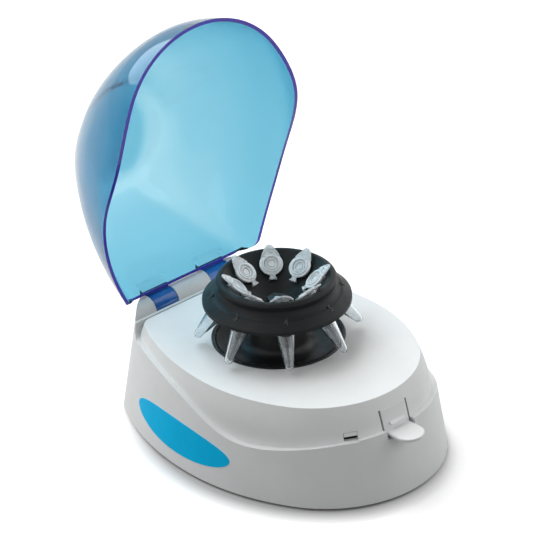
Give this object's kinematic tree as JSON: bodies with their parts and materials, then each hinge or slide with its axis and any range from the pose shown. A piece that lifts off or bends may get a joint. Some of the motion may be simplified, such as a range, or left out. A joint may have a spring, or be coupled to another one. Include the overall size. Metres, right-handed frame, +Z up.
{
  "type": "mini centrifuge",
  "caption": "Bench mini centrifuge: egg-shaped white casing, tinted dome lid hinged at the back, front latch and inclined rotor with small capped tubes.",
  "frame": {"origin": "on the bench, under the middle of the whole object with its lid open", "axes": "+Z up, -Y towards the latch at the front, +Y towards the hinge at the back, +X to the right"},
  "size_m": [0.1546, 0.258, 0.239],
  "materials": {
    "casing_white": "satin",
    "base_grey": "matt",
    "rubber_dark": "matt",
    "steel": "brushed",
    "brass": "plain",
    "aluminium_part": "machined",
    "lid_blue": "clear tint",
    "plastic_black": "matt",
    "plunger_grey": "satin",
    "rotor_black": "satin",
    "board_green": "varnished",
    "terminal_green": "matt",
    "label_blue": "film",
    "tube_clear": "frosted"
  },
  "bodies": {
    "casing": {"top_casing": "casing_white", "base_plate": "base_grey", "rubber_feet": "rubber_dark", "base_screws": "steel", "hinge_pins": "steel", "lid_switch": "plastic_black", "rotor_cowl": "plastic_black", "shaft_seal": "rubber_dark", "motor": "steel", "motor_bearing": "brass", "motor_bracket": "steel", "motor_screws": "steel", "damper_grommets": "rubber_dark", "bracket_screws": "steel", "circuit_board": "board_green", "board_screws": "steel", "terminal_block": "terminal_green", "capacitor": "plastic_black", "power_inlet": "plastic_black", "inlet_nut": "plastic_black", "rocker_housing": "plastic_black", "side_label": "label_blue"},
    "lid": {"lid_dome": "lid_blue"},
    "rotor": {"rotor": "rotor_black", "rotor_nut": "aluminium_part", "motor_shaft": "steel", "tube_1": "tube_clear", "tube_2": "tube_clear", "tube_3": "tube_clear", "tube_4": "tube_clear", "tube_5": "tube_clear", "tube_6": "tube_clear", "tube_7": "tube_clear", "tube_8": "tube_clear"},
    "latch": {"latch_tongue": "casing_white"},
    "plunger": {"switch_plunger": "plunger_grey"},
    "rocker": {"power_rocker": "plastic_black"}
  },
  "joints": [
    {"name": "lid_hinge", "type": "hinge", "parent": "casing", "child": "lid", "pos_m": [0, 0.06799, 0.0574], "axis": [1, 0, 0], "range_deg": [0, 88.45]},
    {"name": "rotor_spin", "type": "hinge", "parent": "casing", "child": "rotor", "pos_m": [0, -0.01251, 0.06], "axis": [0, 0, 1], "continuous": true},
    {"name": "latch_flex", "type": "hinge", "parent": "casing", "child": "latch", "pos_m": [0, -0.10691, 0.0511], "axis": [1, 0, 0], "range_deg": [0, 6], "stiffness_Nm_per_rad": 1},
    {"name": "plunger_slide", "type": "slide", "parent": "casing", "child": "plunger", "axis": [0.454, 0.891, 0], "range_m": [0, 0.0015], "stiffness_N_per_m": 400},
    {"name": "rocker_tip", "type": "hinge", "parent": "casing", "child": "rocker", "pos_m": [-0.014, 0.07358, 0.024], "axis": [1, 0, 0], "range_deg": [0, 16]}
  ]
}
